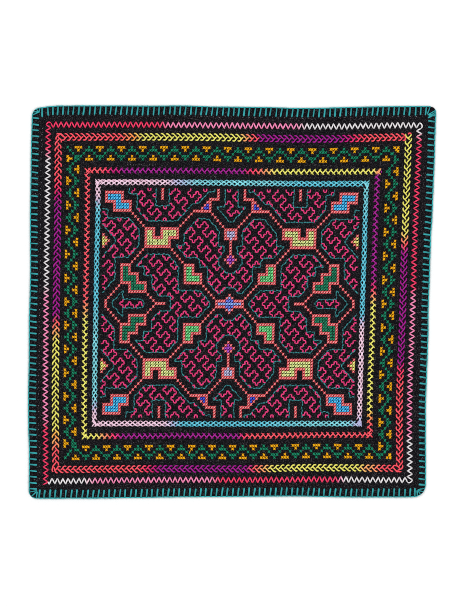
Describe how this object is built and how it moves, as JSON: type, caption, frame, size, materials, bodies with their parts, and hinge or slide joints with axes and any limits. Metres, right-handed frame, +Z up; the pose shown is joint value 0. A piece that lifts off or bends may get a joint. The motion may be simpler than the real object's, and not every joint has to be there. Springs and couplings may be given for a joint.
{
  "type": "shipibo embroidered cloth",
  "caption": "Small, nearly square black cotton cloth lying flat, its field filled with bright geometric embroidery inside framed borders, with a hem edged in blanket stitch.",
  "frame": {"origin": "centre of the cloth's outline, on the flat underside that rests on the surface", "axes": "+X to the right along the foot edge, +Y towards the head edge, +Z up through the embroidered face"},
  "size_m": [0.3834, 0.3696, 0.0024],
  "materials": {
    "cloth": "matte coarse plain-weave cotton, near black"
  },
  "bodies": {
    "root": {"cloth": "cloth"}
  },
  "joints": []
}
